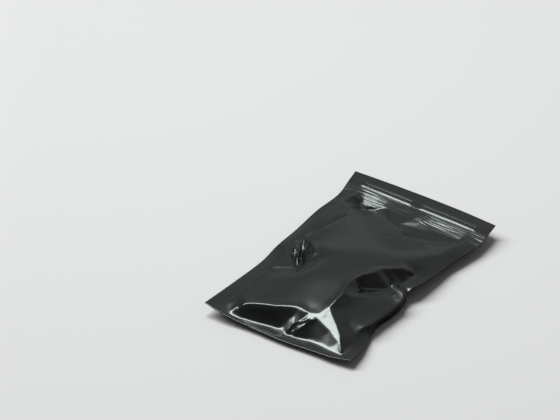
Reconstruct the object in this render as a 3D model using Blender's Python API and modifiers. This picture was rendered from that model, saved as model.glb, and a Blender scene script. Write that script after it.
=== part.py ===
# A small mailer bag of gloss film, welded down both sides and across the bottom, pressed shut along
# its closure, softly filled, and lying on its back.
# Metres, +Z up. +X runs across the bag and +Y towards the closure. The origin is under its middle.

import bmesh
import bpy
import numpy as np
from mathutils import Matrix, Vector
from mathutils.geometry import delaunay_2d_cdt

mm = 0.001

# Driving dimensions
bag_width = 102 * mm        # side edge to side edge, before the fill draws the sides in
bag_length = 160 * mm       # bottom edge to top edge
film_thickness = 0.15 * mm  # one film, and a weld is two
side_weld = 10 * mm
bottom_weld = 10 * mm
closure_drop = 7.5 * mm     # top edge to the upper ridge of the closure
closure_turn = 1.2 * mm     # how much further down the closure sits at its right end
ridge_spacing = 3.7 * mm
ridge_width = 2.6 * mm
ridge_height = 0.8 * mm
below_closure = 3 * mm      # lower ridge of the closure to the top of the pocket
fill_height = 19 * mm       # top of the filled pocket above the table
belly_drop = 0.85           # how far down the lower film is, half way from weld to foot
smooth_levels = 2
merge_distance = 0.05 * mm  # fold points closer than this are one point
corner_gap = 0.03           # pocket shares this near a corner of the pocket are left to the corner
row_points = 4              # points along each line of the closure

# How sharply each kind of line creases, from 0 to 1
creases = {
    "rim": 1, "weld": 0.7, "across weld": 0, "ridge top": 0.3, "ridge foot": 0.5,
    "crisp": 0.5, "round": 0.33, "soft": 0.2,
}

# The outer edges: (share of the edge, pull inwards and lift off the table in mm, slope of the weld in
# degrees, share of its full width that the weld has there). The side edges run from bottom to top, the
# bottom and top edges from left to right.
left_edge = [
    (0.00, 1.9, 8.0, 0, 1), (0.18, 2.9, 6.0, 12, 1), (0.36, 3.2, 4.5, 22, 1), (0.45, 1.5, 4.0, 30, 1),
    (0.57, 1.6, 4.0, 34, 1), (0.72, 1.0, 4.5, 28, 1), (0.88, 3.5, 7.0, 10, 1), (1.00, -0.8, 7.5, 0, 1),
]
right_edge = [
    (0.00, 3.3, 5.8, 0, 0.9), (0.08, 4.2, 4.4, 60, 0.85), (0.16, 7.3, 3.0, 80, 0.8),
    (0.24, 9.9, 2.1, 80, 0.72), (0.34, 8.1, 2.0, 80, 0.68), (0.41, 7.8, 3.5, 74, 0.72),
    (0.46, 9.3, 10.0, 30, 0.9), (0.50, 7.0, 10.0, 18, 1), (0.58, 5.6, 7.6, 24, 1), (0.71, 4.4, 6.0, 25, 1),
    (0.79, 1.9, 6.2, 15, 1), (0.87, -0.8, 8.0, 5, 1), (1.00, 1.2, 8.5, 0, 1),
]
bottom_edge = [
    (0.00, -0.8, 8.0, 0, 0.4), (0.10, -1.5, 6.3, 2, 0.45), (0.31, -0.2, 3.5, 3, 0.7),
    (0.45, 0.0, 3.1, 3, 0.92), (0.53, 0.1, 3.0, 4, 0.6), (0.67, 1.3, 3.1, 3, 0.76), (0.77, 2.0, 3.4, 3, 0.62),
    (0.87, 2.4, 4.0, 2, 0.42), (1.00, 4.6, 5.8, 0, 0.3),
]
top_edge = [
    (0.00, -1.3, 7.5, 0, 1), (0.25, -1.7, 6.5, 0, 1), (0.50, -1.7, 6.5, 0, 1), (0.75, -0.5, 7.5, 0, 1),
    (1.00, 1.0, 8.5, 0, 1),
]

# Fold points of the upper film where folds meet: (share across the pocket, share up the pocket,
# share of the fill height). Shares below 0 or above 1 are where a weld is narrower than its full width.
star = (0.673, 0.07, 0.78)
star_left = (0.612, 0.055, 0.77)
star_low = (0.63, 0.018, 0.69)
star_foot = (0.66, 0.012, 0.665)
leg_end = (0.537, -0.022, 0.35)
band_head = (0.718, 0.048, 0.695)
band_top = (0.725, 0.114, 0.81)
band_end = (1.0, -0.03, 0.37)
dent_head = (0.725, 0.224, 0.92)
dent_pit = (0.77, 0.345, 0.59)
pinch = (0.93, 0.43, 0.43)
left_pit = (0.195, 0.337, 0.42)
fan_ridge = (0.113, 0.458, 0.52)
fan_top = (0.075, 0.53, 0.42)
lower_left = (0.105, -0.03, 0.53)

# Folds of the upper film, as chains of such points with the kind of crease
folds = [
    # The shoulder down the left side, and the foot of its flank
    ("round", [(0.10, 0.84, 0.45), (0.18, 0.735, 0.60), (0.167, 0.66, 0.67), (0.15, 0.595, 0.71),
               (0.17, 0.49, 0.73), (0.25, 0.43, 0.75), left_pit]),
    ("crisp", [fan_top, (0.09, 0.605, 0.47), (0.115, 0.68, 0.485), (0.145, 0.755, 0.47), (0.08, 0.84, 0.40)]),
    # The fan of short folds that gathers in the left pit
    ("crisp", [left_pit, (0.138, 0.39, 0.47), fan_ridge]),
    ("crisp", [left_pit, (0.146, 0.424, 0.36), fan_top]),
    ("crisp", [left_pit, (0.093, 0.415, 0.32), fan_ridge]),
    ("crisp", [left_pit, (0.04, 0.40, 0.42), (0.0, 0.43, 0.42)]),
    ("crisp", [left_pit, (0.036, 0.305, 0.37)]),
    ("soft", [left_pit, (0.16, 0.26, 0.55), (0.11, 0.185, 0.58), (0.08, 0.05, 0.52), lower_left]),
    # The ridge over the bottom weld, the star, and the ridge on to the head of the right dent
    ("round", [lower_left, (0.19, -0.013, 0.65), (0.317, 0.017, 0.69), (0.434, 0.038, 0.725), star_left,
               star]),
    ("crisp", [star, (0.70, 0.117, 0.835), (0.71, 0.165, 0.88), dent_head]),
    ("crisp", [star_left, star_low, star_foot, band_head, star]),
    ("crisp", [star_low, (0.58, -0.002, 0.52), leg_end]),
    ("crisp", [star_foot, (0.61, -0.012, 0.48), (0.565, -0.027, 0.32)]),
    # The broad ridge from the star to the lower right corner
    ("crisp", [band_head, (0.855, 0.025, 0.555), band_end]),
    ("round", [(0.70, 0.117, 0.835), band_top, (0.885, 0.043, 0.57), band_end]),
    # The arc over the right dent, and the folds that gather in the pinched edge
    ("crisp", [dent_head, (0.70, 0.27, 0.96), (0.703, 0.318, 0.97), (0.728, 0.372, 0.98), (0.80, 0.42, 0.97),
               (0.92, 0.473, 0.91), (0.964, 0.532, 0.78), (1.0, 0.56, 0.66)]),
    ("crisp", [dent_head, (0.753, 0.313, 0.66), dent_pit, pinch]),
    ("crisp", [dent_head, (0.769, 0.245, 0.74), (0.835, 0.288, 0.605), (0.97, 0.364, 0.47)]),
    ("round", [(0.769, 0.245, 0.74), (0.82, 0.215, 0.68), (0.835, 0.10, 0.62)]),
    # Folds that run down from the closure
    ("crisp", [(0.05, 0.95, 0.40), (0.12, 0.925, 0.36), (0.21, 0.93, 0.34), (0.285, 0.965, 0.33)]),
    ("crisp", [(0.05, 0.92, 0.35), (0.13, 0.905, 0.27), (0.21, 0.91, 0.26), (0.285, 0.965, 0.33)]),
    ("crisp", [(0.58, 0.96, 0.34), (0.51, 0.89, 0.31), (0.60, 0.93, 0.29)]),
    ("crisp", [(0.68, 0.928, 0.31), (0.82, 0.915, 0.33), (0.95, 0.915, 0.42)]),
    ("crisp", [(0.685, 0.72, 0.53), (0.645, 0.82, 0.36), (0.74, 0.85, 0.30), (0.95, 0.885, 0.40)]),
    ("soft", [(0.685, 0.72, 0.53), (0.81, 0.79, 0.41), (0.93, 0.86, 0.38)]),
]

# The smooth crown of the fill between the folds
crown = [
    (0.43, 0.83, 0.44), (0.37, 0.66, 0.75), (0.545, 0.65, 0.77), (0.87, 0.585, 0.87), (0.60, 0.505, 1.01),
    (0.40, 0.413, 0.94), (0.555, 0.313, 0.97), (0.33, 0.25, 0.88), (0.475, 0.17, 0.86), (0.30, 0.103, 0.76),
    (0.55, 0.81, 0.44), (0.94, 0.69, 0.66),
]

# The foot is the flat of the lower film that lies on the table, as shares of the pocket
foot = [
    (0.14, 0.09), (0.32, 0.05), (0.55, 0.04), (0.78, 0.06), (0.88, 0.14), (0.86, 0.30), (0.80, 0.42),
    (0.84, 0.56), (0.84, 0.70), (0.70, 0.82), (0.45, 0.86), (0.22, 0.80), (0.13, 0.62), (0.19, 0.44),
    (0.13, 0.27),
]

pocket_top = closure_drop + ridge_spacing + below_closure
pocket_width = bag_width - 2 * side_weld
pocket_length = bag_length - bottom_weld - pocket_top


def read_edge(edge, share, column):
    table = np.array(edge)
    return float(np.interp(share, table[:, 0], table[:, column]))


def sheet_point(across, along):
    """The middle of the laid-out sheet, drawn between its four edges, as (x, y, z) in metres."""
    left_x = -bag_width / 2 + read_edge(left_edge, along, 1) * mm
    right_x = bag_width / 2 - read_edge(right_edge, along, 1) * mm
    bottom_y = -bag_length / 2 + read_edge(bottom_edge, across, 1) * mm
    top_y = bag_length / 2 - read_edge(top_edge, across, 1) * mm
    lift = (
        read_edge(left_edge, along, 2) * (1 - across) + read_edge(right_edge, along, 2) * across
        + read_edge(bottom_edge, across, 2) * (1 - along) + read_edge(top_edge, across, 2) * along
        - left_edge[0][2] * (1 - across) * (1 - along) - right_edge[0][2] * across * (1 - along)
        - left_edge[-1][2] * (1 - across) * along - right_edge[-1][2] * across * along
    )
    return Vector((left_x + across * (right_x - left_x), bottom_y + along * (top_y - bottom_y), lift * mm))


def weld_turn(edge, share, weld, inwards, inside):
    """How far a sloping weld moves a point, towards the edge and up, and the weld's steepness there.
    The turn grows over the width of the weld and fades across the pocket, as inside falls from 1 to 0."""
    slope = np.radians(read_edge(edge, share, 3))
    width = weld * read_edge(edge, share, 4)
    turned = min(inwards, width) * inside
    steepness = np.tan(slope) if inside == 1 else 0
    return turned * (1 - np.cos(slope)), turned * inside ** 3 * np.sin(slope), steepness


def bag_point(across, along, side=0):
    """A point of the sheet with its welds turned, as shares of the sheet. Side is 1 for the upper
    film, -1 for the lower film and 0 for the face between them."""
    inside_right = min(max((across * bag_width - side_weld) / pocket_width, 0), 1)
    inside_top = min(max((along * bag_length - bottom_weld) / pocket_length, 0), 1)
    from_left, from_right, from_bottom = across * bag_width, (1 - across) * bag_width, along * bag_length
    left_run, left_rise, left_tan = weld_turn(left_edge, along, side_weld, from_left, 1 - inside_right)
    right_run, right_rise, right_tan = weld_turn(right_edge, along, side_weld, from_right, inside_right)
    base_run, base_rise, base_tan = weld_turn(bottom_edge, across, bottom_weld, from_bottom, 1 - inside_top)
    turn = Vector((right_run - left_run, -base_run, left_rise + right_rise + base_rise))
    outwards = Vector((right_tan - left_tan, -base_tan, 1)).normalized()
    return sheet_point(across, along) + turn + outwards * side * film_thickness


def pocket_point(across, along, side=0):
    """The same for a point given as shares of the pocket between the welds."""
    sheet_across = (side_weld + across * pocket_width) / bag_width
    return bag_point(sheet_across, (bottom_weld + along * pocket_length) / bag_length, side)


def rim_points(side):
    """The outer edge once round, anticlockwise from the lower left corner."""
    rim = [bag_point(share, 0, side) for share, *rest in bottom_edge[:-1]]
    rim += [bag_point(1, share, side) for share, *rest in right_edge[:-1]]
    rim += [bag_point(share, 1, side) for share, *rest in reversed(top_edge[1:])]
    rim += [bag_point(0, share, side) for share, *rest in reversed(left_edge[1:])]
    return rim


def weld_spots():
    """The inner lines of the three welds, from the top of the left one round to the top of the right:
    (share across, share along) of the sheet, and the spot of the rim straight out from it."""
    left_in = side_weld / bag_width
    top = 1 - pocket_top / bag_length

    def base_width(share):
        return bottom_weld * read_edge(bottom_edge, share, 4) / bag_length

    def right_width(share):
        return left_in * read_edge(right_edge, share, 4)

    spots = [((left_in, top), None)]
    for share, *rest in reversed(left_edge):
        if base_width(0) + corner_gap < share < top - corner_gap:
            spots.append(((left_in, share), (0, share)))
    spots.append(((left_in, base_width(0)), (0, 0)))
    for share, *rest in bottom_edge:
        if left_in + corner_gap < share < 1 - right_width(0) - corner_gap:
            spots.append(((share, base_width(share)), (share, 0)))
    spots.append(((1 - right_width(0), base_width(1)), (1, 0)))
    for share, *rest in right_edge:
        if base_width(1) + corner_gap < share < top - corner_gap:
            spots.append(((1 - right_width(share), share), (1, share)))
    spots.append(((1 - left_in, top), None))
    return spots


class FilmPlan:
    """Points and creased lines of one film, which are filled with triangles inside its rim."""

    def __init__(self, side):
        self.points = []
        self.lines = []
        self.creases = []
        rim = rim_points(side)
        self.rim = list(range(len(rim)))
        self.add_line(rim, "rim", closed=True)
        spots = weld_spots()
        self.welds = (len(rim), len(rim) + len(spots))
        self.add_line([bag_point(*weld, side) for weld, edge in spots], "weld")
        for weld, edge in spots:
            if edge:
                self.add_line([bag_point(*edge, side), bag_point(*weld, side)], "across weld")

    def add_line(self, points, kind, closed=False):
        first = len(self.points)
        self.points += points
        ends = list(range(first, len(self.points)))
        pairs = list(zip(ends, ends[1:] + ends[:1])) if closed else list(zip(ends, ends[1:]))
        self.lines += pairs
        self.creases += [creases[kind]] * len(pairs)

    def fill(self, bm, crease_layer, faces_up):
        flat = [point.xy for point in self.points]
        corners, edges, faces, from_points, from_lines, inside_rim = delaunay_2d_cdt(
            flat, self.lines, [self.rim], 0, merge_distance, True
        )
        verts = []
        for corner, sources in zip(corners, from_points):
            source = sources[0] if sources else min(
                range(len(flat)), key=lambda index: (flat[index] - corner).length
            )
            verts.append(bm.verts.new((corner.x, corner.y, self.points[source].z)))
        for face, inside in zip(faces, inside_rim):
            if inside:
                bm.faces.new([verts[index] for index in (face if faces_up else reversed(face))])
        first_weld, last_weld = self.welds
        diagonals = []
        for (start, end), sources in zip(edges, from_lines):
            edge = bm.edges.get((verts[start], verts[end]))
            weights = [self.creases[source] for source in sources if source < len(self.lines)]
            if edge and weights:
                edge[crease_layer] = max(weights)
            elif edge:
                low, high = sorted(min(from_points[end] or [last_weld]) for end in (start, end))
                if low < len(self.rim) and first_weld <= high < last_weld:
                    diagonals.append(edge)
        # Both films of a weld are the same four-sided patches, so they stay one thickness apart
        bmesh.ops.dissolve_edges(bm, edges=diagonals, use_verts=False)
        return [edge for edge in bm.edges if edge.is_boundary and edge.verts[0] in verts]


def raised(points, height):
    return [point + Vector((0, 0, height)) for point in points]


def film_at(points):
    """Fold points, given as shares, at their heights above the table."""
    placed = []
    for across, along, height in points:
        spot = pocket_point(across, along)
        placed.append(Vector((spot.x, spot.y, height * fill_height)))
    return placed


def closure_row(drop, height):
    """A line across the bag between the side welds, at a drop below the top edge."""
    inset = side_weld / bag_width
    row = []
    for share in np.linspace(inset, 1 - inset, row_points):
        row.append(bag_point(share, 1 - (drop + closure_turn * share) / bag_length, 1))
    return raised(row, height)


def upper_film():
    plan = FilmPlan(1)
    for ridge in range(2):
        drop = closure_drop + ridge * ridge_spacing
        plan.add_line(closure_row(drop - ridge_width / 2, 0), "ridge foot")
        plan.add_line(closure_row(drop, ridge_height), "ridge top")
        plan.add_line(closure_row(drop + ridge_width / 2, 0), "ridge foot")
    for kind, points in folds:
        plan.add_line(film_at(points), kind)
    plan.points += film_at(crown)
    return plan


def lower_film():
    plan = FilmPlan(-1)
    plan.add_line([pocket_point(share, 1, -1) for share in (0.25, 0.5, 0.75)], "round")
    outline = [pocket_point(across, along) for across, along in foot]
    plan.add_line([Vector((point.x, point.y, 0)) for point in outline], "rim", closed=True)
    for across, along in foot:
        # Half way out from the foot to the nearest weld the film bellies down towards the table
        nearer_side = abs(across - 0.5) * pocket_width > abs(along - 0.5) * pocket_width
        edge_across = round(across) if nearer_side else across
        edge_along = along if nearer_side else round(along)
        weld = pocket_point(edge_across, edge_along)
        spot = pocket_point((across + edge_across) / 2, (along + edge_along) / 2)
        plan.points.append(Vector((spot.x, spot.y, weld.z * (1 - belly_drop))))
    return plan


def film_material():
    material = bpy.data.materials.new("black_film")
    material.use_nodes = True
    shader = material.node_tree.nodes["Principled BSDF"]
    shader.inputs["Base Color"].default_value = (0.018, 0.020, 0.019, 1)
    shader.inputs["Roughness"].default_value = 0.2
    shader.inputs["Metallic"].default_value = 0
    return material


def make_bag(collection):
    bm = bmesh.new()
    crease_layer = bm.edges.layers.float.new("crease_edge")
    rims = upper_film().fill(bm, crease_layer, True) + lower_film().fill(bm, crease_layer, False)
    sides = bmesh.ops.bridge_loops(bm, edges=rims)["faces"]
    # The four corners stay square, so their short upright edges are creased too
    corners = [bag_point(across, along).xy for across in (0, 1) for along in (0, 1)]
    for edge in {edge for face in sides for edge in face.edges}:
        low, high = (vert.co for vert in edge.verts)
        if (low - high).xy.length < film_thickness and any((low.xy - spot).length < mm for spot in corners):
            edge[crease_layer] = 1
    bmesh.ops.recalc_face_normals(bm, faces=bm.faces)
    mesh = bpy.data.meshes.new("mailer_bag")
    bm.to_mesh(mesh)
    bm.free()
    mesh.shade_smooth()
    mesh.materials.append(film_material())
    bag = bpy.data.objects.new("mailer_bag", mesh)
    collection.objects.link(bag)
    smooth = bag.modifiers.new("smooth_film", "SUBSURF")
    smooth.levels = smooth_levels
    smooth.render_levels = smooth_levels
    return bag


def centre_on_origin(bag):
    """Moves the mesh so that the origin lies at the table, under the middle of the bag."""
    shape = bag.evaluated_get(bpy.context.evaluated_depsgraph_get())
    corners = np.array(shape.bound_box)
    middle = (corners.min(axis=0) + corners.max(axis=0)) / 2
    bag.data.transform(Matrix.Translation((-middle[0], -middle[1], -corners[:, 2].min())))


def main():
    for old in list(bpy.data.objects):
        bpy.data.objects.remove(old, do_unlink=True)
    collection = bpy.data.collections.new("film_mailer_bag")
    bpy.context.scene.collection.children.link(collection)
    centre_on_origin(make_bag(collection))


main()
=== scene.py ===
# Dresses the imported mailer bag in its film: folds, welds, closure and crinkles, and lights it.
import math

import bpy
import numpy as np
from mathutils import Matrix, Vector
from mathutils.geometry import delaunay_2d_cdt


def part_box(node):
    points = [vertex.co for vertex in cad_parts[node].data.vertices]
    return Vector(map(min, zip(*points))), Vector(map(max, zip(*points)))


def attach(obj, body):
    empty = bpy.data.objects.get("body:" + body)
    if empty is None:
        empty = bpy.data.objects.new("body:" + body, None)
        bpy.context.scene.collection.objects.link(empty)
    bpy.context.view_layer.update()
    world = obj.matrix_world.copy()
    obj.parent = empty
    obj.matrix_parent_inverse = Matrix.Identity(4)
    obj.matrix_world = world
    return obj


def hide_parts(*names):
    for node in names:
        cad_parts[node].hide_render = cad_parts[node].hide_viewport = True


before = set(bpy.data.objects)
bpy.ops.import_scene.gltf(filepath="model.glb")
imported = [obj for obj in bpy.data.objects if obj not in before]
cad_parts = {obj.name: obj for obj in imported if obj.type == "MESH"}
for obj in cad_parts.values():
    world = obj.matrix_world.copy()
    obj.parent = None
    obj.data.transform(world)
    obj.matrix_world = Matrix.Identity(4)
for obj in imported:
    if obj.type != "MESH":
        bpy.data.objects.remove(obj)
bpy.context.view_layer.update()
mm = 0.001

# Sizes of the bag in mm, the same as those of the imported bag
bag = {
    "width": 102, "length": 160, "filmThickness": 0.15,
    "sideWeld": 10, "bottomWeld": 10,
    "weldStep": 3,                   # between the points of the welds' inner line
    "weldFade": 3,                   # how much faster, as a power, a weld's rise fades than its shift
    "closureDrop": 7.5,              # from the top edge to the first ridge, at the left
    "closureTurn": 1.2,              # how much further down it is at the right
    "closureFoot": 3,                # from the second ridge to the pocket
    "ridgeSpacing": 3.7, "ridgeWidth": 2.0,
    "ridgeHeights": (0.30, 0.45),    # of the ridge nearer the top edge and of the other
    "ridgeInset": 1, "ridgeEndFade": 3,               # they fade out from this far inside the side welds
    "ridgeStretches": [(0.08, 0.42), (0.52, 0.93)],   # where they stand proud, as shares of the width
    "ridgeFlattened": 0.3, "ridgeFade": 0.03,         # share of their height left elsewhere, and the change
    "fillHeight": 19, "bellyDrop": 0.85, "bellyBlur": 1.2,
    "tapeDrop": 12.2, "tapeWidth": 9.5, "tapeFade": 1.5,
    "tapePatches": [(0.12, 0.31), (0.86, 0.35)],      # centre and half width, as shares of the pocket
    "patchFray": 0.03, "patchFade": 0.06,             # how ragged and how soft their ends are, as shares
    "pleatLength": 16, "pleatWidth": 1.2, "pleatHeight": 0.06, "pleatSeed": 7,
    "columns": 200, "rows": 640,     # cells of the upper film's fine grid, multiples of 4
    "fineTop": 26,                   # the mesh keeps every fine row this far down from the top edge
    "crownBlur": 5.0,
    "foldBlur": {"soft": 1.9, "round": 1.4, "crisp": 0.45},     # how rounded each kind of fold is
    "foldReach": {"soft": 9.0, "round": 6.0, "crisp": 4.0},    # and how far from it that holds
}

# Outer edges, in mm and degrees: the share of the edge, its pull inwards, its lift off the table, and the
# slope and width of the weld beside it, which the top edge doesn't have
edgeValues = ("share", "pull", "lift", "slope", "weld")
edges = {
    "left": [
        (0.00, 1.9, 8.0, 0, 10), (0.18, 2.9, 6.0, 12, 10), (0.36, 3.2, 4.5, 22, 10),
        (0.45, 1.5, 4.0, 30, 10), (0.57, 1.6, 4.0, 34, 10), (0.72, 1.0, 4.5, 28, 10),
        (0.87, 2.6, 5.6, 12, 10), (0.93, 1.3, 7.2, 5, 10), (1.00, -0.8, 7.5, 0, 10),
    ],
    "right": [
        (0.00, 3.3, 5.8, 0, 9.0), (0.08, 4.2, 4.2, 20, 8.6), (0.16, 7.3, 3.0, 48, 8.2),
        (0.20, 8.8, 2.5, 74, 7.6), (0.24, 9.9, 2.1, 88, 7.2), (0.34, 8.1, 2.0, 88, 6.8),
        (0.41, 7.8, 3.5, 80, 7.2), (0.46, 9.3, 8.3, 14, 9.0), (0.50, 7.0, 8.9, 10, 10),
        (0.58, 5.6, 7.6, 24, 10), (0.71, 4.4, 6.0, 25, 10), (0.79, 1.9, 6.2, 15, 10),
        (0.87, -0.2, 6.8, 5, 10), (0.93, 0.1, 8.2, 2, 10), (1.00, 1.2, 8.5, 0, 10),
    ],
    "bottom": [
        (0.00, -0.8, 8.0, 0, 4.0), (0.10, -1.5, 6.3, 2, 4.5), (0.31, -0.2, 3.5, 3, 7.0),
        (0.45, 0.0, 3.1, 3, 9.2), (0.53, 0.1, 3.0, 4, 6.0), (0.60, 0.6, 3.0, 3, 6.6),
        (0.67, 1.3, 3.1, 3, 7.6), (0.77, 2.0, 3.4, 3, 6.2), (0.87, 2.4, 4.0, 2, 4.2),
        (1.00, 4.6, 5.8, 0, 3.0),
    ],
    "top": [(0.00, -1.3, 7.5), (0.25, -3.3, 6.5), (0.50, -3.5, 6.5), (0.75, -1.8, 7.5), (1.00, 1.0, 8.5)],
}

# Points that several folds share: across the pocket, up the pocket and in height, the last as a share
# of the fill height
star = (0.705, 0.080, 0.70)
starLeft = (0.637, 0.064, 0.68)
starLow = (0.64, 0.029, 0.59)
starFoot = (0.698, 0.05, 0.63)
bandHead = (0.717, 0.051, 0.63)
bandTop = (0.736, 0.125, 0.80)
bandEnd = (1.02, -0.043, 0.30)
dentHead = (0.725, 0.224, 0.92)
dentPit = (0.74, 0.335, 0.60)
facetHead = (0.776, 0.237, 0.79)
pinch = (0.93, 0.43, 0.52)
leftPit = (0.195, 0.337, 0.40)
fanRidge = (0.113, 0.458, 0.45)
fanTop = (0.075, 0.53, 0.42)
tapeLeft = (0.0, 0.925, 0.36)
lensEnd = (0.24, 0.95, 0.23)

# Folds of the upper film: how rounded each is, and its points as above
folds = [
    # Shoulder down the left side and the foot of its flank
    ("round", [(0.10, 0.84, 0.45), (0.18, 0.735, 0.60), (0.167, 0.66, 0.67), (0.15, 0.595, 0.70)]),
    ("crisp", [(0.15, 0.595, 0.70), (0.17, 0.49, 0.72), (0.22, 0.46, 0.735), (0.26, 0.42, 0.745),
               (0.224, 0.36, 0.53), leftPit]),
    ("crisp", [fanTop, (0.09, 0.605, 0.47), (0.115, 0.68, 0.485), (0.145, 0.755, 0.47),
               (0.08, 0.84, 0.40)]),
    # Fan of short folds in the left pit
    ("crisp", [leftPit, (0.138, 0.39, 0.47), fanRidge]),
    ("crisp", [leftPit, (0.146, 0.424, 0.27), (0.115, 0.486, 0.34), fanTop]),
    ("crisp", [leftPit, (0.093, 0.415, 0.29), (0.07, 0.46, 0.385), fanRidge]),
    ("crisp", [leftPit, (0.126, 0.362, 0.42), (0.044, 0.401, 0.42), (0.0, 0.43, 0.42)]),
    ("crisp", [(0.126, 0.362, 0.42), (0.081, 0.397, 0.42), (0.064, 0.45, 0.43)]),
    ("crisp", [leftPit, (0.157, 0.336, 0.42), (0.036, 0.311, 0.38)]),
    ("crisp", [(0.163, 0.326, 0.40), (0.048, 0.298, 0.355), (0.036, 0.311, 0.38)]),
    ("soft", [leftPit, (0.16, 0.26, 0.55), (0.11, 0.185, 0.58), (0.08, 0.05, 0.52), (0.105, -0.036, 0.53)]),
    # Ridge over the bottom weld, the star, its two legs and the ridge to the head of the right dent
    ("round", [(0.108, -0.038, 0.55), (0.15, -0.026, 0.61), (0.195, -0.014, 0.66), (0.29, 0.0, 0.72),
               (0.382, 0.012, 0.765), (0.546, 0.061, 0.745), starLeft, star]),
    ("crisp", [star, bandTop, (0.727, 0.17, 0.865), dentHead]),
    ("crisp", [starLeft, starLow, starFoot, bandHead, star, starFoot]),
    ("crisp", [starLow, (0.593, 0.018, 0.505), (0.555, 0.006, 0.42), (0.537, -0.014, 0.28)]),
    ("crisp", [starFoot, (0.672, 0.034, 0.54), (0.648, 0.01, 0.475), (0.615, -0.006, 0.375),
               (0.572, -0.016, 0.21)]),
    # Broad ridge from the star to the lower right corner
    ("crisp", [bandHead, (0.844, 0.026, 0.52), (0.945, -0.003, 0.41), bandEnd]),
    ("round", [bandTop, (0.796, 0.097, 0.71), (0.857, 0.073, 0.62), (0.932, 0.033, 0.49), bandEnd]),
    # Arc over the right dent, and the folds that gather in the pinched edge
    ("crisp", [dentHead, (0.70, 0.27, 0.95), (0.703, 0.318, 0.96), (0.728, 0.372, 0.97),
               (0.80, 0.42, 0.955), (0.92, 0.473, 0.90), (0.964, 0.532, 0.78), (1.0, 0.56, 0.66)]),
    ("crisp", [dentHead, (0.753, 0.313, 0.66), dentPit, pinch]),
    ("crisp", [dentHead, facetHead, (0.835, 0.288, 0.62), (0.97, 0.364, 0.47)]),
    ("round", [facetHead, (0.816, 0.219, 0.68), (0.796, 0.165, 0.685), (0.913, 0.116, 0.525)]),
    # Foot of the tape under the closure, and the film that sinks behind it
    ("crisp", [tapeLeft, (0.077, 0.947, 0.26), (0.16, 0.953, 0.23), lensEnd]),
    ("crisp", [tapeLeft, (0.075, 0.913, 0.18), (0.136, 0.908, 0.09), (0.193, 0.926, 0.10), lensEnd]),
    ("crisp", [(0.29, 0.957, 0.27), (0.439, 0.858, 0.27), (0.554, 0.828, 0.27)]),
    ("crisp", [(0.56, 0.972, 0.31), (0.475, 0.883, 0.25), (0.60, 0.945, 0.26), (0.665, 0.958, 0.24),
               (0.798, 0.944, 0.23), (0.945, 0.935, 0.26)]),
    ("soft", [(0.48, 0.865, 0.23), (0.591, 0.897, 0.19), (0.707, 0.911, 0.19), (0.94, 0.915, 0.24)]),
    ("crisp", [(0.64, 0.74, 0.44), (0.617, 0.822, 0.20), (0.705, 0.848, 0.16), (0.921, 0.886, 0.21)]),
    ("round", [(0.64, 0.74, 0.44), (0.80, 0.785, 0.41), (0.92, 0.835, 0.39)]),
]

# Fine pinched lines in the film, ridges and, with a height below 0, grooves: height and width in mm,
# and points across and up the pocket
pinches = [
    (0.18, 1.0, [(0.64, 0.029), (0.593, 0.018), (0.555, 0.006), (0.537, -0.014)]),
    (0.50, 1.2, [(0.698, 0.050), (0.672, 0.034), (0.648, 0.010), (0.615, -0.006), (0.572, -0.016)]),
    (-1.1, 3.6, [(0.185, 0.355), (0.16, 0.41), (0.125, 0.475)]),
    (-0.8, 2.6, [(0.165, 0.36), (0.10, 0.405), (0.075, 0.44)]),
    (0.45, 1.2, [(0.195, 0.337), (0.138, 0.39), (0.113, 0.458)]),
    (-0.8, 3.4, [(0.095, 0.55), (0.115, 0.62), (0.135, 0.69), (0.155, 0.75)]),
    (0.30, 1.4, [(0.155, 0.50), (0.135, 0.59), (0.155, 0.66), (0.175, 0.72)]),
]

# Points on the smooth crown of the fill between the folds
crown = [
    (0.36, 0.79, 0.46), (0.37, 0.66, 0.73), (0.545, 0.65, 0.75), (0.87, 0.585, 0.85), (0.60, 0.505, 0.99),
    (0.40, 0.413, 0.92), (0.555, 0.313, 0.95), (0.33, 0.25, 0.86), (0.45, 0.16, 0.80),
    (0.578, 0.128, 0.735), (0.30, 0.103, 0.735),
    (0.53, 0.74, 0.54), (0.94, 0.69, 0.66), (0.92, 0.205, 0.515),
]

# Outline of the flat of the lower film, which lies on the table
foot = [
    (0.14, 0.09), (0.32, 0.05), (0.55, 0.04), (0.78, 0.06), (0.88, 0.14), (0.86, 0.30), (0.80, 0.42),
    (0.84, 0.56), (0.84, 0.70), (0.70, 0.82), (0.45, 0.86), (0.22, 0.80), (0.13, 0.62), (0.19, 0.44),
    (0.13, 0.27),
]

# In the two corners under the closure the lower film is down as far as half way out from the foot
bellyCorners = [(0.06, 0.95), (0.94, 0.95)]

pocketTop = bag["closureDrop"] + bag["ridgeSpacing"] + bag["closureFoot"]
pocketWidth = bag["width"] - 2 * bag["sideWeld"]
pocketLength = bag["length"] - bag["bottomWeld"] - pocketTop

bellWidths = 2.4     # a bell looks this many times as wide as the length in which it falls to 1/e
mergeGap = 0.01      # places closer than this, in mm, are one corner of the facets
tableGap = 0.01      # lower film less than this above the table, in mm, lies on it
edgeSlack = 1e-6     # so that a grid point on a triangle's edge counts as inside it
farAway = 1e3        # further than any fold, in mm


def readEdge(name, share, value):
    # A smooth curve through the table's points: cubic pieces whose slopes are the central differences
    column = edgeValues.index(value)
    knots = np.array([row[0] for row in edges[name]], dtype=float)
    values = np.array([row[column] for row in edges[name]], dtype=float)
    slopes = np.gradient(values, knots)
    low = np.clip(np.searchsorted(knots, share, side="right") - 1, 0, len(knots) - 2)
    span = knots[low + 1] - knots[low]
    part = np.clip((share - knots[low]) / span, 0, 1)
    start = values[low] * (1 + 2 * part) + slopes[low] * span * part
    end = values[low + 1] * (3 - 2 * part) - slopes[low + 1] * span * (1 - part)
    return start * (1 - part) ** 2 + end * part ** 2


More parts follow.
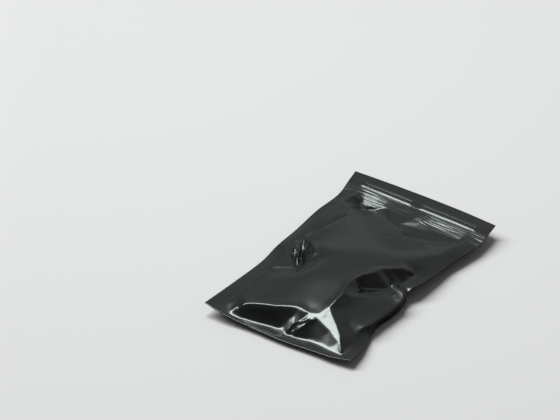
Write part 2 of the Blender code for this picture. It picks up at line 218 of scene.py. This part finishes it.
def sheetPoints(across, along):
    # The middle of the sheet in mm: x and y run straight between opposite edges, and the lift is the
    # sum of the two straight runs between them, less the straight run between the corners
    leftX = -bag["width"] / 2 + readEdge("left", along, "pull")
    rightX = bag["width"] / 2 - readEdge("right", along, "pull")
    bottomY = -bag["length"] / 2 + readEdge("bottom", across, "pull")
    topY = bag["length"] / 2 - readEdge("top", across, "pull")
    sides = readEdge("left", along, "lift") * (1 - across) + readEdge("right", along, "lift") * across
    ends = readEdge("bottom", across, "lift") * (1 - along) + readEdge("top", across, "lift") * along
    lowCorners = readEdge("left", 0, "lift") * (1 - across) + readEdge("right", 0, "lift") * across
    highCorners = readEdge("left", 1, "lift") * (1 - across) + readEdge("right", 1, "lift") * across
    lift = sides + ends - lowCorners * (1 - along) - highCorners * along
    return np.stack([leftX + across * (rightX - leftX), bottomY + along * (topY - bottomY), lift], axis=-1)


def pocketShares(across, along):
    # Sheet shares turned into shares of the pocket, which pass 0 and 1 inside the welds
    return (
        (across * bag["width"] - bag["sideWeld"]) / pocketWidth,
        (along * bag["length"] - bag["bottomWeld"]) / pocketLength,
    )


def filmPoints(across, along):
    # The sheet with its welds turned down: a weld of slope a runs width * (1 - cos a) less far in and
    # rises width * sin a, and both fade out across the pocket
    points = sheetPoints(across, along)
    pocketAcross, pocketAlong = pocketShares(across, along)
    acrossInside, alongInside = np.clip(pocketAcross, 0, 1), np.clip(pocketAlong, 0, 1)
    for name, share, inwards, inside, axis, sign in (
        ("left", along, across * bag["width"], 1 - acrossInside, 0, -1),
        ("right", along, (1 - across) * bag["width"], acrossInside, 0, 1),
        ("bottom", across, along * bag["length"], 1 - alongInside, 1, -1),
    ):
        slope, width = np.radians(readEdge(name, share, "slope")), readEdge(name, share, "weld")
        weight = np.clip(inwards / width, 0, 1) * inside
        points[..., axis] += sign * weight * width * (1 - np.cos(slope))
        points[..., 2] += weight * inside ** bag["weldFade"] * width * np.sin(slope)
    return points


def flatPlace(pocketAcross, pocketAlong):
    # Where a pocket share lies on the flat sheet, in mm from its lower left corner
    return (
        bag["sideWeld"] + np.asarray(pocketAcross) * pocketWidth,
        bag["bottomWeld"] + np.asarray(pocketAlong) * pocketLength,
    )


def middleHeights(places):
    # Heights of the sheet's middle, in mm, at places on the flat sheet
    x, y = np.asarray(places).T
    return filmPoints(x / bag["width"], y / bag["length"])[:, 2]


def weldLine():
    # The pocket's outline on the flat sheet, closed, as points about one weld step apart
    corners = [flatPlace(*share) for share in ((0, 0), (1, 0), (1, 1), (0, 1), (0, 0))]
    low = corners[0][1]
    line = []
    for start, end in zip(corners, corners[1:]):
        start, end = np.array(start), np.array(end)
        steps = int(np.linalg.norm(end - start) / bag["weldStep"])
        line.append(start + (end - start) * np.linspace(0, 1, steps, endpoint=False)[:, None])
    line = np.concatenate(line)
    # The bottom and right welds are as wide as their edge tables say
    nearBottom = np.clip(1 - (line[:, 1] - low) / bag["bottomWeld"], 0, 1)
    line[:, 1] += nearBottom * (readEdge("bottom", line[:, 0] / bag["width"], "weld") - low)
    nearRight = np.clip(1 - (corners[1][0] - line[:, 0]) / bag["sideWeld"], 0, 1)
    line[:, 0] += nearRight * (bag["sideWeld"] - readEdge("right", line[:, 1] / bag["length"], "weld"))
    return line


def facetHeights(places, heights, lines, outlineCount, x, y):
    # Fills the outline, which the first places make, with triangles between all the places, then reads
    # each triangle's plane on the grid
    places, heights = np.array(places), np.array(heights, dtype=float)
    flat, outline = [Vector(place) for place in places], list(range(outlineCount))
    corners, _, faces, sources, _, inside = delaunay_2d_cdt(flat, lines, [outline], 0, mergeGap, True)
    corners = np.array([corner[:] for corner in corners])
    nearest = [
        source[0] if source else int(np.argmin(np.linalg.norm(places - corner, axis=1)))
        for source, corner in zip(sources, corners)
    ]
    cornerHeights = heights[nearest]
    found = np.full((len(y), len(x)), np.nan)
    for face, within in zip(faces, inside):
        if not within:
            continue
        (ax, ay), (bx, by), (cx, cy) = corners[list(face)]
        columns = slice(*np.searchsorted(x, (min(ax, bx, cx) - edgeSlack, max(ax, bx, cx) + edgeSlack)))
        rows = slice(*np.searchsorted(y, (min(ay, by, cy) - edgeSlack, max(ay, by, cy) + edgeSlack)))
        gridX, gridY = np.meshgrid(x[columns], y[rows])
        area = (bx - ax) * (cy - ay) - (cx - ax) * (by - ay)
        shareB = ((gridX - ax) * (cy - ay) - (cx - ax) * (gridY - ay)) / area
        shareC = ((bx - ax) * (gridY - ay) - (gridX - ax) * (by - ay)) / area
        inTriangle = (shareB >= -edgeSlack) & (shareC >= -edgeSlack) & (shareB + shareC <= 1 + edgeSlack)
        a, b, c = cornerHeights[list(face)]
        plane = a + (b - a) * shareB + (c - a) * shareC
        found[rows, columns][inTriangle] = plane[inTriangle]
    return found


def blurred(field, blur, stepX, stepY):
    # Gaussian blur of a grid by its spectrum, with the edge values carried outwards first
    pad = int(3 * blur / min(stepX, stepY)) + 2     # a bell is all but gone three blurs out
    wide = np.pad(field, pad, mode="edge")
    frequencyX = np.fft.rfftfreq(wide.shape[1], stepX)
    frequencyY = np.fft.fftfreq(wide.shape[0], stepY)
    response = np.exp(-2 * (np.pi * blur) ** 2 * (frequencyX[None, :] ** 2 + frequencyY[:, None] ** 2))
    return np.fft.irfft2(np.fft.rfft2(wide) * response, wide.shape)[pad:-pad, pad:-pad]


def lineDistance(x, y, chains):
    # Distance from every grid point to the nearest of the chains' straight pieces
    gridX, gridY = np.meshgrid(x, y)
    nearest = np.full(gridX.shape, farAway)
    for chain in chains:
        for (ax, ay), (bx, by) in zip(chain, chain[1:]):
            lengthSquared = (bx - ax) ** 2 + (by - ay) ** 2
            along = ((gridX - ax) * (bx - ax) + (gridY - ay) * (by - ay)) / lengthSquared
            along = np.clip(along, 0, 1)
            gap = np.hypot(gridX - ax - along * (bx - ax), gridY - ay - along * (by - ay))
            nearest = np.minimum(nearest, gap)
    return nearest


def wander(shape, stepX, stepY, lengthX, lengthY, seed):
    # A smooth random field of unit spread whose features are about lengthX by lengthY mm: white noise
    # with a bell-shaped spectrum
    noise = np.random.default_rng(seed).standard_normal(shape)
    frequencyX = np.fft.rfftfreq(shape[1], stepX)
    frequencyY = np.fft.fftfreq(shape[0], stepY)
    response = np.exp(-((frequencyX[None, :] * lengthX) ** 2 + (frequencyY[:, None] * lengthY) ** 2) * 2)
    field = np.fft.irfft2(np.fft.rfft2(noise) * response, shape)
    return field / field.std()


def upperHeights(x, y):
    # Heights of the upper film on the flat grid: facets between the folds, blurred most on the crown and
    # less near a fold, by its kind, plus a bell across each pinched line
    stepX, stepY = x[1] - x[0], y[1] - y[0]
    gridX, gridY = np.meshgrid(x, y)
    middle = filmPoints(gridX / bag["width"], gridY / bag["length"])[..., 2]
    outline = weldLine()
    places, heights, lines = list(outline), list(middleHeights(outline)), []
    chains = {kind: [] for kind in bag["foldBlur"]}
    for kind, points in folds:
        first = len(places)
        chain = [flatPlace(across, along) for across, along, _ in points]
        places += chain
        heights += [height * bag["fillHeight"] for *_, height in points]
        lines += [(first + i, first + i + 1) for i in range(len(points) - 1)]
        chains[kind].append(chain)
    places += [flatPlace(across, along) for across, along, _ in crown]
    heights += [height * bag["fillHeight"] for *_, height in crown]
    facets = facetHeights(places, heights, lines, len(outline), x, y)
    whole = np.where(np.isnan(facets), middle, facets)
    chains["round"].append(np.vstack([outline, outline[:1]]))
    rounded = blurred(whole, bag["crownBlur"], stepX, stepY)
    for kind, blur in bag["foldBlur"].items():
        near = np.exp(-(lineDistance(x, y, chains[kind]) / bag["foldReach"][kind]) ** 2)
        if kind == "round":
            near[np.isnan(facets)] = 1
        rounded += (blurred(whole, blur, stepX, stepY) - rounded) * near
    for height, width, points in pinches:
        gap = lineDistance(x, y, [[flatPlace(across, along) for across, along in points]])
        rounded += height * np.exp(-(gap / (width / 2)) ** 2)
    return rounded + bag["filmThickness"]


def window(values, start, end, fade):
    # 1 between start and end, falling to 0 within fade outside them
    return np.clip((values - start) / fade + 1, 0, 1) * np.clip((end - values) / fade + 1, 0, 1)


def closureDrop(gridX, gridY):
    # Distance down from the top edge along the closure's own direction, which is turned a little
    return bag["length"] - gridY - bag["closureTurn"] * gridX / bag["width"]


def closureRidges(x, y):
    # Two rounded ridges across the bag, each a bell of the drop from the top edge, that end just inside
    # the side welds and are flattened outside their stretches
    gridX, gridY = np.meshgrid(x, y)
    drop = closureDrop(gridX, gridY)
    inset, bell = bag["sideWeld"] + bag["ridgeInset"], bag["ridgeWidth"] / bellWidths
    ends = window(gridX, inset, bag["width"] - inset, bag["ridgeEndFade"])
    across = gridX / bag["width"]
    proud = sum(window(across, start, end, bag["ridgeFade"]) for start, end in bag["ridgeStretches"])
    proud = bag["ridgeFlattened"] + (1 - bag["ridgeFlattened"]) * proud
    ridges = sum(
        height * np.exp(-((drop - bag["closureDrop"] - i * bag["ridgeSpacing"]) / bell) ** 2)
        for i, height in enumerate(bag["ridgeHeights"])
    )
    return ridges * ends * proud


def tapeCrinkles(x, y):
    # The tape under the closure: how rough the film is there, in two patches with frayed ends, and pleats
    # that run along it, as the folded ridges of a stretched random field
    gridX, gridY = np.meshgrid(x, y)
    stepX, stepY = x[1] - x[0], y[1] - y[0]
    drop = closureDrop(gridX, gridY)
    field = wander(gridX.shape, stepX, stepY, bag["pleatLength"], bag["pleatWidth"], bag["pleatSeed"])
    across = (gridX - bag["sideWeld"]) / pocketWidth + bag["patchFray"] * field
    patches = sum(
        window(across, centre - halfWidth, centre + halfWidth, bag["patchFade"])
        for centre, halfWidth in bag["tapePatches"]
    )
    inBand = window(drop, bag["tapeDrop"], bag["tapeDrop"] + bag["tapeWidth"], bag["tapeFade"])
    roughness = patches * inBand
    return roughness, bag["pleatHeight"] * (1 - np.abs(field)) * roughness


def lowerHeights(x, y):
    # Heights of the lower film: flat on its foot, and from there up to the welds in facets that bend half
    # way out, where most of the weld's height is still to come
    stepX, stepY = x[1] - x[0], y[1] - y[0]
    gridX, gridY = np.meshgrid(x, y)
    middle = filmPoints(gridX / bag["width"], gridY / bag["length"])[..., 2]
    outline = weldLine()
    places, heights = list(outline), list(middleHeights(outline))
    first = len(places)
    places += [flatPlace(across, along) for across, along in foot]
    heights += [0] * len(foot)
    lines = [(first + i, first + (i + 1) % len(foot)) for i in range(len(foot))]
    for across, along in foot:
        edgeAcross = round(across) if abs(across - 0.5) > abs(along - 0.5) else across
        edgeAlong = along if edgeAcross != across else round(along)
        weld = middleHeights([flatPlace(edgeAcross, edgeAlong)])[0]
        places.append(flatPlace((across + edgeAcross) / 2, (along + edgeAlong) / 2))
        heights.append(weld * (1 - bag["bellyDrop"]))
    for across, along in bellyCorners:
        places.append(flatPlace(across, along))
        heights.append(middleHeights([flatPlace(round(across), round(along))])[0] * (1 - bag["bellyDrop"]))
    facets = facetHeights(places, heights, lines, len(outline), x, y)
    whole = np.where(np.isnan(facets), middle, facets)
    onFoot = facets <= tableGap
    rounded = blurred(whole, bag["bellyBlur"], stepX, stepY)
    return np.where(onFoot, 0, rounded) - bag["filmThickness"] * ~onFoot


def filmMesh():
    # One closed mesh: the upper film's grid, the lower film's half as fine, and a strip of side faces.
    # Heights are worked out on a fine even grid; the mesh keeps every row near the closure, elsewhere
    # every second one.
    columns, rows = bag["columns"], bag["rows"]
    x, y = np.linspace(0, bag["width"], columns + 1), np.linspace(0, bag["length"], rows + 1)
    fineFrom = int(rows * (1 - bag["fineTop"] / bag["length"])) // 4 * 4     # so that both films' rows meet
    kept = np.concatenate([np.arange(0, fineFrom, 2), np.arange(fineFrom, rows + 1)])
    gridX, gridY = np.meshgrid(x, y)
    upper = filmPoints(gridX / bag["width"], gridY / bag["length"])
    tape, pleats = tapeCrinkles(x, y)
    upper[..., 2] = upperHeights(x, y) + closureRidges(x, y) + pleats
    lower = upper[:, ::2].copy()
    lower[..., 2] = lowerHeights(x[::2], y)
    upper, lower, tape = upper[kept], lower[kept[::2]], tape[kept]
    upperIndex = np.arange(upper[..., 0].size).reshape(upper.shape[:2])
    lowerIndex = np.arange(lower[..., 0].size).reshape(lower.shape[:2]) + upperIndex.size
    faces = quads(upperIndex) + quads(lowerIndex[:, ::-1])
    fine, coarse = rimLoop(upperIndex), rimLoop(lowerIndex)
    fine, coarse = np.append(fine, fine[0]), np.append(coarse, coarse[0])
    strip = np.stack([coarse[:-1], coarse[1:], fine[2::2], fine[1::2], fine[:-1:2]], axis=1)
    points = np.concatenate([upper.reshape(-1, 3), lower.reshape(-1, 3)])
    rough = np.concatenate([tape.ravel(), np.zeros(lower[..., 0].size)])
    return points, faces + strip.tolist(), rough


def quads(index):
    # The four corners of each cell of a grid of indices, anticlockwise where its columns run to the right
    corners = [index[:-1, :-1], index[:-1, 1:], index[1:, 1:], index[1:, :-1]]
    return np.stack(corners, axis=-1).reshape(-1, 4).tolist()


def rimLoop(index):
    # The outer indices once round, anticlockwise from the lower left corner
    return np.concatenate([index[0, :-1], index[:-1, -1], index[-1, :0:-1], index[:0:-1, 0]])


def makeFilm():
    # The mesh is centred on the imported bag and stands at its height
    points, faces, rough = filmMesh()
    low, high = (np.array(corner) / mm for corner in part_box("mailer_bag"))
    points[:, :2] += (low[:2] + high[:2]) / 2 - (points[:, :2].min(axis=0) + points[:, :2].max(axis=0)) / 2
    points[:, 2] += low[2] - points[:, 2].min()
    mesh = bpy.data.meshes.new("bagFilm")
    mesh.from_pydata(points * mm, [], faces)
    mesh.validate()
    mesh.shade_smooth()
    mesh.attributes.new("tape", "FLOAT", "POINT").data.foreach_set("value", rough)
    film = bpy.data.objects.new("bagFilm", mesh)
    bpy.context.scene.collection.objects.link(film)
    return film


# The film's look. A pair is the value on plain film and on the tape.
filmLook = {
    "colour": (0.0045, 0.0062, 0.005, 1), "ior": 1.5,
    "roughness": (0.3, 0.35), "coatWeight": 0.8, "coatRoughness": (0.1, 0.24),
    "crinkleScale": 220, "crinkleDetail": 4, "crinkleStrength": 0.06, "crinkleDepth": 0.0005,
}


def mapRange(tree, source, between, values):
    # Turns the source's range into a range of values, straight in between and held beyond
    node = tree.nodes.new("ShaderNodeMapRange")
    node.inputs["From Min"].default_value, node.inputs["From Max"].default_value = between
    node.inputs["To Min"].default_value, node.inputs["To Max"].default_value = values
    tree.links.new(source, node.inputs["Value"])
    return node.outputs["Result"]


def distanceAlong(tree, source, direction):
    # How far the source's vector reaches along the direction
    node = tree.nodes.new("ShaderNodeVectorMath")
    node.operation = "DOT_PRODUCT"
    node.inputs[1].default_value = direction
    tree.links.new(source, node.inputs[0])
    return node.outputs["Value"]


def filmMaterial():
    # Satin film under a glossier coat, with the same fine crinkles in both, and both rougher on the tape
    material = bpy.data.materials.new("blackFilm")
    material.use_nodes = True
    tree = material.node_tree
    shader = tree.nodes["Principled BSDF"]
    shader.inputs["Base Color"].default_value = filmLook["colour"]
    shader.inputs["IOR"].default_value = filmLook["ior"]
    shader.inputs["Coat Weight"].default_value = filmLook["coatWeight"]
    tape = tree.nodes.new("ShaderNodeAttribute")
    tape.attribute_name = "tape"
    for socket, values in (("Roughness", "roughness"), ("Coat Roughness", "coatRoughness")):
        tree.links.new(mapRange(tree, tape.outputs["Fac"], (0, 1), filmLook[values]), shader.inputs[socket])
    place = tree.nodes.new("ShaderNodeTexCoord")
    crinkle = tree.nodes.new("ShaderNodeTexNoise")
    crinkle.inputs["Scale"].default_value = filmLook["crinkleScale"]
    crinkle.inputs["Detail"].default_value = filmLook["crinkleDetail"]
    bump = tree.nodes.new("ShaderNodeBump")
    bump.inputs["Strength"].default_value = filmLook["crinkleStrength"]
    bump.inputs["Distance"].default_value = filmLook["crinkleDepth"]
    tree.links.new(place.outputs["Object"], crinkle.inputs["Vector"])
    tree.links.new(crinkle.outputs["Fac"], bump.inputs["Height"])
    for socket in ("Normal", "Coat Normal"):
        tree.links.new(bump.outputs["Normal"], shader.inputs[socket])
    return material


# Studio, in metres and degrees. The camera's numbers come from fitting the photo's outline.
studio = {
    "azimuth": 34.6, "elevation": 35.0, "distance": 1.464, "lens": 154.3, "sensor": 36,
    "target": (-0.0728, 0.0284, 0.0),
    "keyElevation": 72, "keyLeft": 1.2, "keyDistance": 1.7, "keySize": (2.6, 0.5), "keyWatts": 53,
    "keyColour": (0.9, 1, 0.99),
    "wallColour": (0.965, 1, 0.955, 1),
    "wallTurn": -40,                       # of the brightest side, from straight away from the camera
    "wallStrengths": (0.11, 0.28),         # on the dim side and on the bright side
    "wallBetween": (0.3, 0.7),             # cosines to the bright side between which they change over
    "lowShare": 0.15,                      # share of that strength left low down
    "lowBetween": (-0.05, 0.22),           # sines of the heights between which it grows to all of it
    "floorSize": 6, "floorRoughness": 0.7,
    # Painted light and shade on the floor: its colour is darker on the left and paler on the right, as the
    # light falls
    "floorShadedLeft": (0.72, 0.66, 0.667, 1), "floorLitRight": (0.87, 0.80, 0.81, 1),
    "floorFade": 0.2,                      # how far out from the middle the painted shade on the left and the painted light on the right are reached
    "floorShadeInReflections": (0.07, 0.07, 0.07, 1),      # painted shade: what reflections see in place of both, dark as the shaded floor beside the bag
}
up = Vector((0, 0, 1))


def backDirection():
    # From the target towards the camera
    azimuth, elevation = math.radians(studio["azimuth"]), math.radians(studio["elevation"])
    return Vector((
        math.sin(azimuth) * math.cos(elevation),
        -math.cos(azimuth) * math.cos(elevation),
        math.sin(elevation),
    ))


def farDirection():
    # Level, and away from the camera
    azimuth = math.radians(studio["azimuth"])
    return Vector((-math.sin(azimuth), math.cos(azimuth), 0))


def rightDirection():
    return farDirection().cross(up)


def placeCamera():
    camera = bpy.data.objects.new("camera", bpy.data.cameras.new("camera"))
    bpy.context.scene.collection.objects.link(camera)
    camera.data.sensor_width = studio["sensor"]
    camera.data.lens = studio["lens"]
    camera.location = Vector(studio["target"]) + backDirection() * studio["distance"]
    camera.rotation_euler = backDirection().to_track_quat("Z", "Y").to_euler()
    bpy.context.scene.camera = camera


def placeKey():
    # A long strip lamp high on the far side, set off to the left
    lamp = bpy.data.lights.new("key", "AREA")
    lamp.shape = "RECTANGLE"
    lamp.size, lamp.size_y = studio["keySize"]
    lamp.energy = studio["keyWatts"]
    lamp.color = studio["keyColour"]
    elevation = math.radians(studio["keyElevation"])
    direction = farDirection() * math.cos(elevation) + up * math.sin(elevation)
    key = bpy.data.objects.new("key", lamp)
    bpy.context.scene.collection.objects.link(key)
    key.location = direction * studio["keyDistance"] - rightDirection() * studio["keyLeft"]
    key.rotation_euler = direction.to_track_quat("Z", "Y").to_euler()


def lightWorld():
    # The room grows brighter toward its bright side and is dimmer low down
    world = bpy.data.worlds.new("room")
    bpy.context.scene.world = world
    world.use_nodes = True
    tree = world.node_tree
    background = tree.nodes["Background"]
    background.inputs["Color"].default_value = studio["wallColour"]
    view = tree.nodes.new("ShaderNodeTexCoord").outputs["Generated"]
    brightSide = Matrix.Rotation(math.radians(studio["wallTurn"]), 3, "Z") @ farDirection()
    strength = tree.nodes.new("ShaderNodeMath")
    strength.operation = "MULTIPLY"
    for socket, direction, between, values in (
        (0, brightSide, studio["wallBetween"], studio["wallStrengths"]),
        (1, up, studio["lowBetween"], (studio["lowShare"], 1)),
    ):
        factor = mapRange(tree, distanceAlong(tree, view, direction), between, values)
        tree.links.new(factor, strength.inputs[socket])
    tree.links.new(strength.outputs["Value"], background.inputs["Strength"])


def layFloor():
    # Painted shade toward the left and painted light toward the right, and painted shade in reflections,
    # which see a darker floor than the camera does
    bpy.ops.mesh.primitive_plane_add(size=studio["floorSize"])
    floor = bpy.context.object
    floor.name = "floor"
    material = bpy.data.materials.new("paintedLightFloor")
    material.use_nodes = True
    tree = material.node_tree
    shader = tree.nodes["Principled BSDF"]
    shader.inputs["Roughness"].default_value = studio["floorRoughness"]
    place = tree.nodes.new("ShaderNodeTexCoord").outputs["Object"]
    reach = studio["floorFade"]
    share = mapRange(tree, distanceAlong(tree, place, rightDirection()), (-reach, reach), (0, 1))
    paintedLight, shade = (tree.nodes.new("ShaderNodeMix") for _ in range(2))
    paintedLight.data_type = shade.data_type = "RGBA"
    # The two colours paint the floor's shade on the left and its light on the right
    paintedLight.inputs["A"].default_value = studio["floorShadedLeft"]
    paintedLight.inputs["B"].default_value = studio["floorLitRight"]
    shade.inputs["B"].default_value = studio["floorShadeInReflections"]
    # Painted shade: glossy rays see the dark colour, as if the floor round the bag lay in shade
    mirrored = tree.nodes.new("ShaderNodeLightPath").outputs["Is Glossy Ray"]
    tree.links.new(share, paintedLight.inputs["Factor"])
    tree.links.new(paintedLight.outputs["Result"], shade.inputs["A"])
    tree.links.new(mirrored, shade.inputs["Factor"])
    tree.links.new(shade.outputs["Result"], shader.inputs["Base Color"])
    floor.data.materials.append(material)


placeCamera()
placeKey()
lightWorld()
layFloor()
print("studio ready")

film = makeFilm()
film.data.materials.append(filmMaterial())
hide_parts("mailer_bag")
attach(film, "root")
print("film made:", len(film.data.polygons), "faces")

bpy.context.scene.view_settings.view_transform = "Standard"
